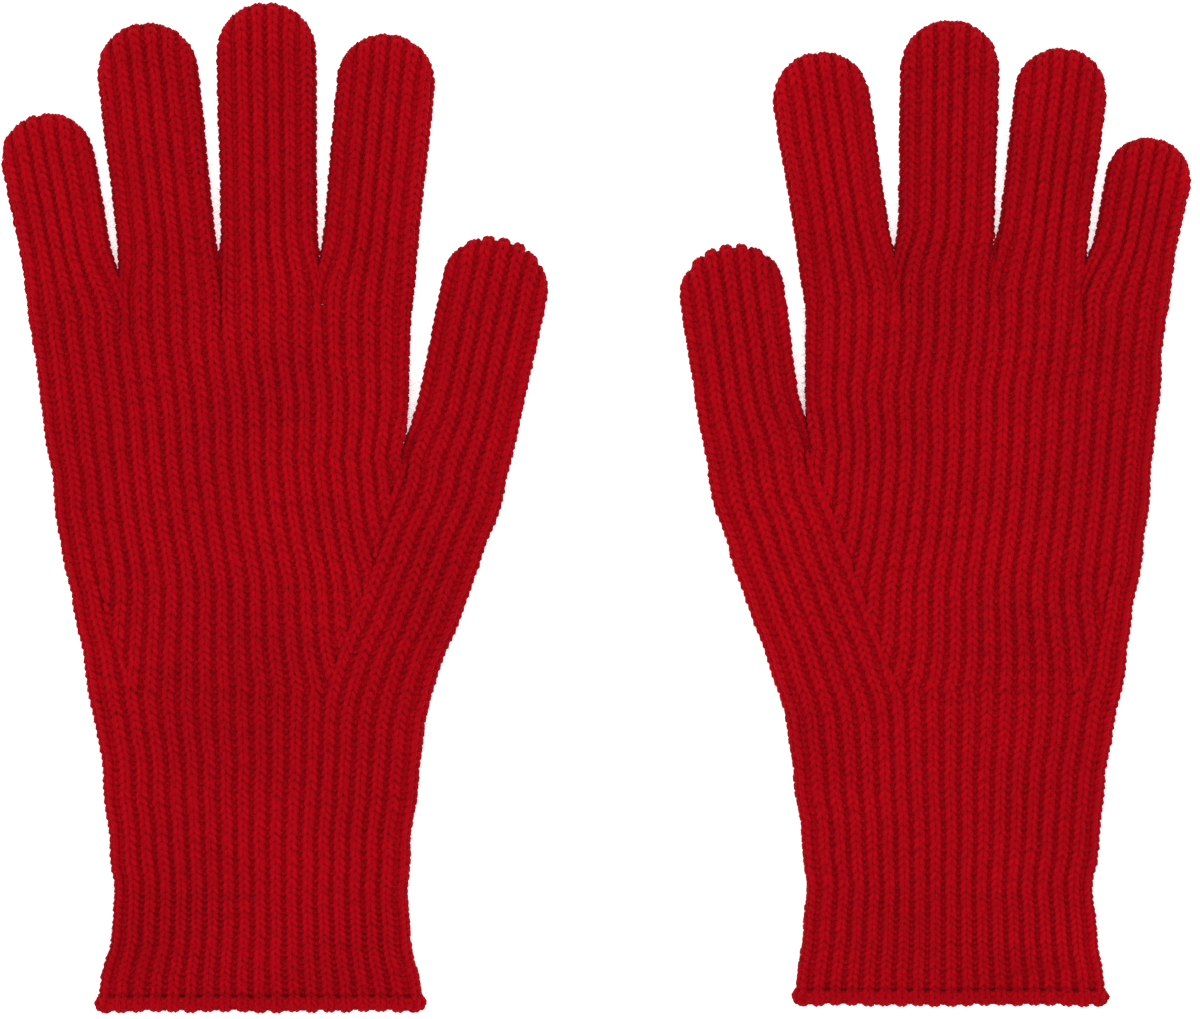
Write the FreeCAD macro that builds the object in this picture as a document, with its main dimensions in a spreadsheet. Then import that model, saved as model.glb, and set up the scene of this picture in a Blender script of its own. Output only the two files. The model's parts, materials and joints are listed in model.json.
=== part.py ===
import FreeCAD, Part
import math
import os
import Sketcher

# A pair of knitted rib gloves, lying flat with the palms up: right-hand glove at -X, left-hand glove at +X.
# +Y runs to the fingertips, +Z is up, and the origin is the middle of the pair on the surface it lies on.
# Every piece of fabric is a flattened hollow tube. A glove's own origin is the middle of its wrist line,
# and its plan is written for the right hand, with the thumb at +x; the left hand mirrors it.

doc = FreeCAD.newDocument("knitted_gloves")

# ---- Driving dimensions, millimetres -------------------------------------------------------------------

COMMON = {
    "fabric_wall": 2.4,  # thickness of the rib fabric
    "glove_depth": 10.8,  # both layers and the slack between them
    "outer_round": 4.6,  # roundness of the folded edges, outside
    "inner_round": 2.4,  # and inside
    "seam_gap": 0.4,  # clearance between pieces that fold against each other
    "overrun": 12.0,  # how far a blank runs past the piece cut from it
    "web_width": 2.6,
    "web_length": 4.0,
    "web_inset": 3.4,  # from the crotch point to the middle of the web
    "knot_radius": 1.8,
    "knot_length": 3.2,  # half length of a tip knot, along the finger
    "welt_depth": 3.2,  # height of the rolled edge along the cuff
    "wrist_taper_at": 20.0,  # where the quick taper under the hand ends, below the wrist line
    "wrist_length": 56.6,
    "cuff_flare_at": 74.0,  # where the cuff starts to flare, below the wrist line
}

# Plan of each glove: the corners of the hand, then the lengths of the digits from their base lines.
RIGHT = {
    "centre_x": -97.146,
    "centre_y": -53.76,
    "little_side_x": -66.4,  # outer end of the little finger's base line
    "little_side_y": 104.4,
    "little_crotch_x": -39.2,  # between the little and ring fingers
    "little_crotch_y": 109.6,
    "ring_crotch_x": -11.3,  # between the ring and middle fingers
    "ring_crotch_y": 112.7,
    "middle_crotch_x": 16.5,  # between the middle and index fingers
    "middle_crotch_y": 113.1,
    "index_side_x": 43.6,  # outer end of the index finger's base line
    "index_side_y": 110.5,
    "thumb_crotch_x": 42.1,
    "thumb_crotch_y": 66.7,
    "thumb_side_x": 71.3,  # outer end of the thumb's base line
    "thumb_side_y": 59.5,
    "gusset_bend_x": 64.1,
    "gusset_bend_y": 37.7,
    "gusset_foot_x": 20.0,  # where the V line meets the wrist line
    "side_bend_x": -58.3,
    "side_bend_y": 45.0,
    "heel_top_x": -44.4,  # top of the side gusset's inner line
    "heel_top_y": 26.1,
    "heel_foot_x": -35.7,
    "wrist_half": 49.6,
    "taper_half": 46.2,
    "neck_half": 42.4,
    "flare_half": 43.4,
    "mouth_half": 47.3,
    "cuff_length": 92.4,  # wrist line to the bottom of the rolled edge
    "thumb_length": 68.9,
    "index_length": 78.2,
    "middle_length": 85.9,
    "ring_length": 82.1,
    "little_length": 60.5,
}
LEFT = {
    "centre_x": 102.654,
    "centre_y": -53.76,
    "little_side_x": -62.6,
    "little_side_y": 108.2,
    "little_crotch_x": -37.7,
    "little_crotch_y": 113.1,
    "ring_crotch_x": -12.4,
    "ring_crotch_y": 116.2,
    "middle_crotch_x": 15.2,
    "middle_crotch_y": 116.8,
    "index_side_x": 41.8,
    "index_side_y": 112.7,
    "thumb_crotch_x": 41.8,
    "thumb_crotch_y": 69.6,
    "thumb_side_x": 70.9,
    "thumb_side_y": 64.4,
    "gusset_bend_x": 63.4,
    "gusset_bend_y": 37.7,
    "gusset_foot_x": 16.0,
    "side_bend_x": -57.0,
    "side_bend_y": 49.3,
    "heel_top_x": -44.4,
    "heel_top_y": 26.1,
    "heel_foot_x": -35.7,
    "wrist_half": 49.6,
    "taper_half": 45.6,
    "neck_half": 41.5,
    "flare_half": 42.6,
    "mouth_half": 45.2,
    "cuff_length": 90.6,
    "thumb_length": 62.2,
    "index_length": 72.2,
    "middle_length": 77.3,
    "ring_length": 71.4,
    "little_length": 49.7,
}
GLOVES = {"right": RIGHT, "left": LEFT}
MIRROR = {"right": 1, "left": -1}

# A digit's base line runs between two corners of the hand, from the little finger's side to the thumb's.
DIGITS = {
    "little_finger": ("little_side", "little_crotch", "little_length"),
    "ring_finger": ("little_crotch", "ring_crotch", "ring_length"),
    "middle_finger": ("ring_crotch", "middle_crotch", "middle_length"),
    "index_finger": ("middle_crotch", "index_side", "index_length"),
    "thumb": ("thumb_crotch", "thumb_side", "thumb_length"),
}
CROTCHES = ("little_crotch", "ring_crotch", "middle_crotch", "thumb_crotch")

sizes = doc.addObject("Spreadsheet::Sheet", "Sizes")
row = 0
sheet_values = dict(COMMON)
for side, plan in GLOVES.items():
    for name, number in plan.items():
        sheet_values[side + "_" + name] = number
for name, number in sheet_values.items():
    row += 1
    sizes.set("A%d" % row, name)
    sizes.set("B%d" % row, str(number))
    sizes.setAlias("B%d" % row, name)
doc.recompute()

WALL = "Sizes.fabric_wall"
DEPTH = "Sizes.glove_depth"
GAP = "Sizes.seam_gap"
OVERRUN = "Sizes.overrun"
INNER_DEPTH = "(Sizes.glove_depth - 2 * Sizes.fabric_wall)"


# ---- Building blocks -----------------------------------------------------------------------------------


def bind_point(sketch, edge, end, x_size, y_size):
    """Fixes one end of a sketch line at a place given by two expressions."""
    for kind, size in (("DistanceX", x_size), ("DistanceY", y_size)):
        place = float(sketch.evalExpression(size))
        index = sketch.addConstraint(Sketcher.Constraint(kind, -1, 1, edge, end, place))
        sketch.setExpression("Constraints[%d]" % index, size)


def new_sketch(body, name, floor):
    """A sketch on the body's own XY plane, raised to the height that the expression floor gives."""
    sketch = body.newObject("Sketcher::SketchObject", name + "_outline")
    plane = [item for item in body.Origin.OriginFeatures if item.Role == "XY_Plane"][0]
    sketch.AttachmentSupport = [(plane, "")]
    sketch.MapMode = "FlatFace"
    sketch.setExpression("AttachmentOffset.Base.z", floor)
    return sketch


def pad_and_round(body, name, sketch, depth, radius):
    """Pads the outline and rounds the top and bottom edges, except those along X where the tube is open."""
    pad = body.newObject("PartDesign::Pad", name + "_pad")
    pad.Profile = sketch
    pad.setExpression("Length", depth)
    doc.recompute()
    if radius is None:
        return body
    edges = []
    for number, edge in enumerate(pad.Shape.Edges, start=1):
        box = edge.BoundBox
        level = box.ZLength < 1e-6
        open_end = box.YLength < 1e-6
        if level and not open_end:
            edges.append("Edge%d" % number)
    fillet = body.newObject("PartDesign::Fillet", name + "_round")
    fillet.Base = (pad, edges)
    fillet.setExpression("Radius", radius)
    doc.recompute()
    return body


def slab(name, corners, floor, depth, radius=None):
    """A flat slab with straight sides: corners are (x, y) pairs of expressions."""
    body = doc.addObject("PartDesign::Body", name)
    sketch = new_sketch(body, name, floor)
    places = []
    for x_size, y_size in corners:
        x = float(sketch.evalExpression(x_size))
        y = float(sketch.evalExpression(y_size))
        places.append(FreeCAD.Vector(x, y, 0))
    count = len(places)
    for index in range(count):
        sketch.addGeometry(Part.LineSegment(places[index], places[(index + 1) % count]))
    for index in range(count):
        following = (index + 1) % count
        sketch.addConstraint(Sketcher.Constraint("Coincident", index, 2, following, 1))
    for index, (x_size, y_size) in enumerate(corners):
        bind_point(sketch, index, 1, x_size, y_size)
    return pad_and_round(body, name, sketch, depth, radius)


def finger_blank(name, width, base, length, floor, depth, radius):
    """A straight digit with a half-round tip; its base line lies along X and it points along +Y."""
    body = doc.addObject("PartDesign::Body", name)
    sketch = new_sketch(body, name, floor)
    half = "(%s) / 2" % width
    shoulder = "%s - %s" % (length, half)
    half_now = float(sketch.evalExpression(half))
    base_now = float(sketch.evalExpression(base))
    shoulder_now = float(sketch.evalExpression(shoulder))
    left_foot = FreeCAD.Vector(-half_now, base_now, 0)
    right_foot = FreeCAD.Vector(half_now, base_now, 0)
    right_top = FreeCAD.Vector(half_now, shoulder_now, 0)
    left_top = FreeCAD.Vector(-half_now, shoulder_now, 0)
    circle = Part.Circle(FreeCAD.Vector(0, shoulder_now, 0), FreeCAD.Vector(0, 0, 1), half_now)
    sketch.addGeometry(Part.LineSegment(left_foot, right_foot))
    sketch.addGeometry(Part.LineSegment(right_foot, right_top))
    sketch.addGeometry(Part.ArcOfCircle(circle, 0, math.pi))
    sketch.addGeometry(Part.LineSegment(left_top, left_foot))
    for first, first_end, second, second_end in ((0, 2, 1, 1), (1, 2, 2, 1), (2, 2, 3, 1), (3, 2, 0, 1)):
        sketch.addConstraint(Sketcher.Constraint("Coincident", first, first_end, second, second_end))
    bind_point(sketch, 0, 1, "-" + half, base)
    bind_point(sketch, 1, 1, half, base)
    bind_point(sketch, 2, 1, half, shoulder)
    bind_point(sketch, 3, 1, "-" + half, shoulder)
    middle = sketch.addConstraint(Sketcher.Constraint("DistanceY", -1, 1, 2, 3, shoulder_now))
    sketch.setExpression("Constraints[%d]" % middle, shoulder)
    return pad_and_round(body, name, sketch, depth, radius)


def cut(name, base, tool):
    result = doc.addObject("Part::Cut", name)
    result.Base = base
    result.Tool = tool
    return result


def common(name, base, tool):
    result = doc.addObject("Part::Common", name)
    result.Base = base
    result.Tool = tool
    return result


nodes = []


def hand_in(piece, label, place, angle=None):
    """Names a finished piece and puts it in the pair's frame; place holds expressions for x, y and z."""
    piece.Label = label
    for letter, size in zip("xyz", place):
        if size is not None:
            piece.setExpression("Placement.Base." + letter, size)
    if angle is not None:
        piece.Placement.Rotation = FreeCAD.Rotation(FreeCAD.Vector(0, 0, 1), 1)
        piece.setExpression("Placement.Rotation.Angle", angle)
    nodes.append(piece)


# ---- One glove -----------------------------------------------------------------------------------------


class Plan:
    """Expressions for the places on one glove's plan, mirrored for the left hand."""

    def __init__(self, side):
        self.side = side
        self.sign = MIRROR[side]

    def size(self, name):
        return "Sizes.%s_%s" % (self.side, name)

    def x(self, expression):
        return "%d * (%s)" % (self.sign, expression)

    def corner(self, name):
        return (self.x(self.size(name + "_x")), self.size(name + "_y"))

    def place(self, x_expression, y_expression):
        return (self.x(x_expression), y_expression)

    def centre(self):
        return (self.size("centre_x"), self.size("centre_y"), None)


def in_line(first, second, level):
    """The x, as an expression, where the line through two points reaches the height level."""
    (x_one, y_one), (x_two, y_two) = first, second
    slope = "(%s - %s) / (%s - %s)" % (x_two, x_one, y_two, y_one)
    return "(%s + %s * (%s - %s))" % (x_two, slope, level, y_two)


def hand_pieces(side):
    """The hand, the thumb gusset and the side gusset, cut from two hollow blanks."""
    plan = Plan(side)
    size = plan.size
    shells = {}
    blanks = (
        ("outer", "0", "0", DEPTH, "Sizes.outer_round"),
        ("inner", WALL, WALL, INNER_DEPTH, "Sizes.inner_round"),
    )
    # The palm blank runs past the wrist line and past the finger bases; the gusset blank follows the thumb
    # side and reaches far into the palm. Their side edges run on in line past both ends of the piece.
    wrist = (size("wrist_half"), "0")
    little_wrist = ("-" + size("wrist_half"), "0")
    side_bend = (size("side_bend_x"), size("side_bend_y"))
    little_side = (size("little_side_x"), size("little_side_y"))
    index_side = (size("index_side_x"), size("index_side_y"))
    thumb_crotch = (size("thumb_crotch_x"), size("thumb_crotch_y"))
    gusset_bend = (size("gusset_bend_x"), size("gusset_bend_y"))
    thumb_side = (size("thumb_side_x"), size("thumb_side_y"))
    low = "-%s" % OVERRUN
    high = "%s + %s" % (size("middle_crotch_y"), OVERRUN)
    strip_top = "%s + %s" % (size("thumb_crotch_y"), OVERRUN)
    palm_middle = size("heel_top_x")
    for form, inset, floor, depth, radius in blanks:
        palm_corners = (
            plan.place("%s + %s" % (in_line(side_bend, little_wrist, low), inset), low),
            plan.place("%s + %s" % (side_bend[0], inset), side_bend[1]),
            plan.place("%s + %s" % (in_line(side_bend, little_side, high), inset), high),
            plan.place("%s - %s" % (in_line(thumb_crotch, index_side, high), inset), high),
            plan.place("%s - %s" % (in_line(index_side, thumb_crotch, low), inset), low),
        )
        gusset_corners = (
            plan.place(palm_middle, low),
            plan.place("%s - %s" % (in_line(gusset_bend, wrist, low), inset), low),
            plan.place("%s - %s" % (gusset_bend[0], inset), gusset_bend[1]),
            plan.place("%s - %s" % (in_line(gusset_bend, thumb_side, strip_top), inset), strip_top),
            plan.place(palm_middle, strip_top),
        )
        palm_name = "%s_palm_%s" % (side, form)
        gusset_name = "%s_strip_%s" % (side, form)
        shells["palm", form] = slab(palm_name, palm_corners, floor, depth, radius)
        shells["strip", form] = slab(gusset_name, gusset_corners, floor, depth, radius)
    palm_shell = cut(side + "_palm_shell", shells["palm", "outer"], shells["palm", "inner"])
    strip_shell = cut(side + "_strip_shell", shells["strip", "outer"], shells["strip", "inner"])

    far_side = "%s - %s" % (size("little_side_x"), OVERRUN)
    beyond_index = "%s + %s" % (size("index_side_x"), OVERRUN)
    hand_outline = (
        plan.place(size("heel_foot_x"), "0"),
        plan.corner("heel_top"),
        plan.place(far_side, size("heel_top_y")),
        plan.place(far_side, size("little_side_y")),
        plan.corner("little_side"),
        plan.corner("little_crotch"),
        plan.corner("ring_crotch"),
        plan.corner("middle_crotch"),
        plan.corner("index_side"),
        plan.place(beyond_index, size("index_side_y")),
        plan.place(beyond_index, size("thumb_crotch_y")),
        plan.corner("thumb_crotch"),
        plan.place(size("gusset_foot_x"), "0"),
    )
    side_outline = (
        plan.place(far_side, "0"),
        plan.place(size("heel_foot_x"), "0"),
        plan.corner("heel_top"),
        plan.place(far_side, size("heel_top_y")),
    )
    beyond_thumb = "%s + %s" % (size("thumb_side_x"), OVERRUN)
    gusset_outline = (
        plan.place(size("gusset_foot_x"), "0"),
        plan.place(beyond_thumb, "0"),
        plan.place(beyond_thumb, size("thumb_side_y")),
        plan.corner("thumb_side"),
        plan.corner("thumb_crotch"),
    )
    cutters = (
        ("hand", palm_shell, hand_outline),
        ("side_gusset", palm_shell, side_outline),
        ("thumb_gusset", strip_shell, gusset_outline),
    )
    for name, shell, outline in cutters:
        cutter = slab("%s_%s_cutter" % (side, name), outline, "0", DEPTH)
        piece = common("%s_%s_cut" % (side, name), shell, cutter)
        hand_in(piece, "%s_%s" % (side, name), plan.centre())


def cuff_pieces(side):
    """The wrist tube, the tight band of the cuff and its rolled edge: three tapering tubes in a row."""
    plan = Plan(side)
    size = plan.size
    band_end = "-(%s - Sizes.welt_depth)" % size("cuff_length")
    sections = {
        "wrist_tube": (
            ("-%s" % GAP, size("wrist_half")),
            ("-Sizes.wrist_taper_at", size("taper_half")),
            ("-Sizes.wrist_length", size("neck_half")),
        ),
        "cuff_band": (
            ("-Sizes.wrist_length", size("neck_half")),
            ("-Sizes.cuff_flare_at", size("flare_half")),
            (band_end, size("mouth_half")),
        ),
        "cuff_welt": (
            (band_end, size("mouth_half")),
            ("-%s" % size("cuff_length"), size("mouth_half")),
        ),
    }
    for name, stations in sections.items():
        blanks = []
        for form, inset, floor, depth, radius in (
            ("outer", "0", "0", DEPTH, "Sizes.outer_round"),
            ("inner", WALL, WALL, INNER_DEPTH, "Sizes.inner_round"),
        ):
            thumb_edge = [("%s - %s" % (half, inset), y) for y, half in stations]
            little_edge = [("-(%s - %s)" % (half, inset), y) for y, half in reversed(stations)]
            corners = [(plan.x(x), y) for x, y in thumb_edge + little_edge]
            blanks.append(slab("%s_%s_%s" % (side, name, form), corners, floor, depth, radius))
        tube = cut("%s_%s_shell" % (side, name), blanks[0], blanks[1])
        hand_in(tube, "%s_%s" % (side, name), plan.centre())


def digit_pieces(side):
    """Each digit: a closed rib tube standing off its base line, and the knot that closes its tip inside."""
    plan = Plan(side)
    size = plan.size
    for name, (near, far, length_name) in DIGITS.items():
        run = "(%s - %s)" % (size(far + "_x"), size(near + "_x"))
        rise = "(%s - %s)" % (size(far + "_y"), size(near + "_y"))
        width = "hypot(%s; %s) - %s" % (run, rise, GAP)
        hollow_width = "%s - 2 * %s" % (width, WALL)
        length = size(length_name)
        hollow_length = "%s - %s" % (length, WALL)
        outer_name = "%s_%s_outer" % (side, name)
        inner_name = "%s_%s_inner" % (side, name)
        outer = finger_blank(outer_name, width, GAP, length, "0", DEPTH, "Sizes.outer_round")
        inner = finger_blank(
            inner_name, hollow_width, "0", hollow_length, WALL, INNER_DEPTH, "Sizes.inner_round"
        )
        middle_x = "(%s + %s) / 2" % (size(near + "_x"), size(far + "_x"))
        middle_y = "(%s + %s) / 2" % (size(near + "_y"), size(far + "_y"))
        base_x = "%s + %s" % (size("centre_x"), plan.x(middle_x))
        base_y = "%s + %s" % (size("centre_y"), middle_y)
        turn = "%d * atan2(%s; %s)" % (plan.sign, rise, run)
        tube = cut("%s_%s_shell" % (side, name), outer, inner)
        hand_in(tube, "%s_%s" % (side, name), (base_x, base_y, None), turn)

        knot = doc.addObject("Part::Ellipsoid", "%s_%s_knot" % (side, name))
        knot.setExpression("Radius1", "Sizes.knot_radius")
        knot.setExpression("Radius2", "Sizes.knot_radius")
        knot.setExpression("Radius3", "Sizes.knot_length")
        reach = "(%s - %s - Sizes.knot_length - %s)" % (length, WALL, GAP)
        knot_x = "%s - %d * %s * sin(atan2(%s; %s))" % (base_x, plan.sign, reach, rise, run)
        knot_y = "%s + %s * cos(atan2(%s; %s))" % (base_y, reach, rise, run)
        hand_in(knot, "%s_%s_tip_knot" % (side, name), (knot_x, knot_y, DEPTH + " / 2"), turn)


def web_pieces(side):
    """At each crotch a few stitches join the palm to the back, inside the hand: short posts in one group."""
    plan = Plan(side)
    size = plan.size
    posts = []
    for name in CROTCHES:
        x = size(name + "_x")
        y = "%s - Sizes.web_inset" % size(name + "_y")
        half_width = "Sizes.web_width / 2"
        half_length = "Sizes.web_length / 2"
        if name == "thumb_crotch":
            x = "%s - Sizes.web_inset - %s" % (x, WALL)
        corners = (
            plan.place("%s - %s" % (x, half_width), "%s - %s" % (y, half_length)),
            plan.place("%s + %s" % (x, half_width), "%s - %s" % (y, half_length)),
            plan.place("%s + %s" % (x, half_width), "%s + %s" % (y, half_length)),
            plan.place("%s - %s" % (x, half_width), "%s + %s" % (y, half_length)),
        )
        posts.append(slab("%s_%s_post" % (side, name), corners, WALL, INNER_DEPTH))
    group = doc.addObject("Part::Compound", side + "_posts")
    group.Links = posts
    hand_in(group, side + "_web_stitches", plan.centre())


for side in GLOVES:
    hand_pieces(side)
    cuff_pieces(side)
    web_pieces(side)
    digit_pieces(side)
doc.recompute()

# ---- Checks and export ---------------------------------------------------------------------------------

for item in doc.Objects:
    if "Invalid" in item.State or "Error" in item.State:
        raise RuntimeError("%s did not rebuild: %s" % (item.Label, item.State))
os.makedirs("parts", exist_ok=True)
for piece in nodes:
    if piece.Shape.isNull() or not piece.Shape.isValid() or piece.Shape.Volume <= 0:
        raise RuntimeError("%s has no valid shape" % piece.Label)
    piece.Shape.exportStep("parts/%s.step" % piece.Label)
    print("%-32s %9.1f mm3, %d solid(s)" % (piece.Label, piece.Shape.Volume, len(piece.Shape.Solids)))
pair = Part.makeCompound([piece.Shape for piece in nodes]).BoundBox
print("x %.3f %.3f  y %.3f %.3f  z %.3f %.3f" % (pair.XMin, pair.XMax, pair.YMin, pair.YMax, pair.ZMin, pair.ZMax))
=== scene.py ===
import bpy
import json
import math
import numpy as np
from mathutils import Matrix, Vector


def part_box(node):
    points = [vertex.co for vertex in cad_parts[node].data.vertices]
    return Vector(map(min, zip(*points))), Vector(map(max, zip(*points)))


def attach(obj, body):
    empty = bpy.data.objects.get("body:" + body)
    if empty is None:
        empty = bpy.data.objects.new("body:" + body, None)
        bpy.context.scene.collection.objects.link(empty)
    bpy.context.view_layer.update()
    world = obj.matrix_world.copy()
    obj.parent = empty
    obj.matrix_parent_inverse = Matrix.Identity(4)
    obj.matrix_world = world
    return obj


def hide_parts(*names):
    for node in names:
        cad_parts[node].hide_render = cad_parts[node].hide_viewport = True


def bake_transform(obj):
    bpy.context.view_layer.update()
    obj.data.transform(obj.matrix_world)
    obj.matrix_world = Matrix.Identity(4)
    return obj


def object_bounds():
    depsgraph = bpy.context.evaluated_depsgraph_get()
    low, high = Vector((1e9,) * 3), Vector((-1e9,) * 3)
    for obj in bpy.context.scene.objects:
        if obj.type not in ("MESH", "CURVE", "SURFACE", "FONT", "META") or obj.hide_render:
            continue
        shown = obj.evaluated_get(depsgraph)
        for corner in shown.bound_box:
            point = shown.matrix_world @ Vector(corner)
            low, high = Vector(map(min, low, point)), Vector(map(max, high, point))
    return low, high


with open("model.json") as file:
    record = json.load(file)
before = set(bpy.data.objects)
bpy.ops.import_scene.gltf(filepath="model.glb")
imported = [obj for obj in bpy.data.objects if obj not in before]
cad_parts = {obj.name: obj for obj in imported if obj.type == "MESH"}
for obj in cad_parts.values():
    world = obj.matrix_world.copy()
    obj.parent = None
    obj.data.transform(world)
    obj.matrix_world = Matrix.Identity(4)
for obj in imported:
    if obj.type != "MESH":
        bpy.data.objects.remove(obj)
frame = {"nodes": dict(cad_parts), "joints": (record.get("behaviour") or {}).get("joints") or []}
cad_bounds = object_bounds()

# Knitted rib gloves, built stitch by stitch. Each course of knitting is one tube of yarn that loops along
# the fabric. A surface function says where the fabric lies: it takes places counted in ribs across and in
# courses along, and gives points on the middle of the fabric. The normals come from the differences between
# points close to each other. Plans are worked out as for the right hand, with the wrist line at y = 0 and
# the thumb at +x; the left hand mirrors x.

MM = 0.001
RNG = np.random.default_rng(7)

# ---- The knitting ------------------------------

YARN_RADIUS = 0.80 * MM
YARN_SIDES = 6
COURSE = 2.2 * MM  # height of a stitch
CUFF_COURSE = 1.8 * MM  # and in the tight band of the cuff
FACE_DEPTH = 1.75 * MM  # from the outer face of the fabric to its middle
PROUD = 0.35 * MM  # how far the stitches stand out past the CAD outline at the sides
FINGER_RIBS = 13
THUMB_RIBS = 14
CUFF_RIBS = 38
HAND_RIBS = 22  # on the palm; the back has as many
FINGER_SHARE = HAND_RIBS / 4  # palm ribs below each finger
GUSSET_RIBS = 6
STRIP_RIBS = 2  # ribs of the side gusset, which the palm's outer ribs end against
HEEL_RIBS = 2  # palm ribs that end there
FINGERS = ("little", "ring", "middle", "index")

# One rib of one course: a knit stitch, then a purl stitch. Columns: across in ribs, along in stitch heights
# (towards the fingertips), out of the fabric in millimetres, and the yarn's thickness.
KNIT_HALF = [
    (-0.250, 0.66, -0.20, 0.92),
    (-0.090, 0.56, 0.25, 0.92),
    (-0.070, 0.28, 0.90, 1.00),
    (-0.150, -0.16, 1.22, 1.12),
    (-0.232, -0.56, 0.95, 1.12),
    (-0.205, -0.86, 0.25, 0.98),
]
KNIT_HEAD = (0.0, -1.02, 0.0, 0.96)
PURL_HALF = [
    (-0.250, 0.66, -0.20, 0.96),
    (-0.110, 0.54, -0.40, 1.05),
    (-0.090, 0.20, -0.60, 1.12),
    (-0.140, -0.25, -0.60, 1.12),
    (-0.170, -0.60, -0.40, 1.08),
]
PURL_HEAD = (0.0, -0.86, -0.12, 1.10)
POINTS_PER_RIB = 22
SPLINE_STEPS = 24  # points worked out between two points of the path, before they are spaced evenly
PATH_SCALE = (4.75, 2.2, 1.0)  # millimetres for one rib, one stitch height and one unit of height
WANDER_ACROSS = 0.02  # how uneven the stitches are: in ribs
WANDER_ALONG = 0.06  # in stitch heights
WANDER_RELIEF = 0.07  # as a share of the relief
WANDER_LIFT = 0.06 * MM
WANDER_YARN = 0.045  # as a share of the yarn's thickness
NORMAL_STEP = 0.05  # ribs or courses to each side, for a normal
SHORTEST_YARN = 8  # points; a shorter piece of a course is left out
CELL_SIDES = 7  # rows of the texture layout for each strip of yarn

FIBRE_LENGTH = 1.15 * MM
FIBRE_RADIUS = 0.034 * MM
FIBRE_HEIGHT = 2.0  # counts as above the fabric, for its colour
FIBRE_POINTS = 12  # three rings of four
FIBRE_EVEN = 0.15  # chance of a fibre where the fabric lies flat
FIBRE_SIDES = 9.0  # and how much it grows where the fabric faces sideways
FIBRE_OUT = (0.1, 0.9)  # least and most that a fibre points out of the fabric
FIBRE_LEAN = 0.75  # against how much it leans any way
FIBRE_CURL = 0.65
FIBRE_SPREAD = 0.35  # of the lengths
FIBRE_ROOT = 0.8  # from the yarn's middle, in yarn radii
FIBRE_TAPER = (0.8, 0.4)  # thickness halfway and at the tip
FUZZ_SHARE = 0.25  # fibres for each ring of yarn


def put(name, data, location=(0.0, 0.0, 0.0)):
    item = bpy.data.objects.new(name, data)
    item.location = location
    bpy.context.scene.collection.objects.link(item)
    return item


def smooth(t):
    t = np.clip(t, 0.0, 1.0)
    return t * t * (3.0 - 2.0 * t)


def catmull_rom(points, count):
    """count evenly spaced points of the spline through points, which goes on one rib further along."""
    step = np.array([1.0, 0.0, 0.0, 0.0])
    ring = np.vstack([points[-1] - step, points, points[0] + step, points[1] + step])
    fine = []
    for index in range(len(points)):
        p0, p1, p2, p3 = ring[index], ring[index + 1], ring[index + 2], ring[index + 3]
        for t in np.linspace(0.0, 1.0, SPLINE_STEPS, endpoint=False):
            a = 2.0 * p1
            b = p2 - p0
            c = 2.0 * p0 - 5.0 * p1 + 4.0 * p2 - p3
            d = 3.0 * p1 - p0 - 3.0 * p2 + p3
            fine.append(0.5 * (a + b * t + c * t * t + d * t * t * t))
    fine = np.array(fine + [points[0] + step])
    lengths = np.linalg.norm(np.diff(fine[:, :3] * np.array(PATH_SCALE), axis=0), axis=1)
    place = np.concatenate([[0.0], np.cumsum(lengths)])
    wanted = np.linspace(0.0, place[-1], count, endpoint=False)
    return np.stack([np.interp(wanted, place, fine[:, column]) for column in range(4)], axis=1)


def rib_template():
    """The yarn's path over one rib, from -0.75 to 0.25 of a rib about the knit stitch's middle."""

    def stitch(half, head, middle):
        left = [(x + middle, y, z, r) for x, y, z, r in half]
        right = [(middle - x, y, z, r) for x, y, z, r in half[1:]]
        return left + [(head[0] + middle,) + head[1:]] + right[::-1]

    purl = stitch(PURL_HALF, PURL_HEAD, -0.5)
    knit = stitch(KNIT_HALF, KNIT_HEAD, 0.0)
    path = catmull_rom(np.array(purl + knit), POINTS_PER_RIB)
    path[:, 2] *= MM
    return path


TEMPLATE = rib_template()


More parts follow.
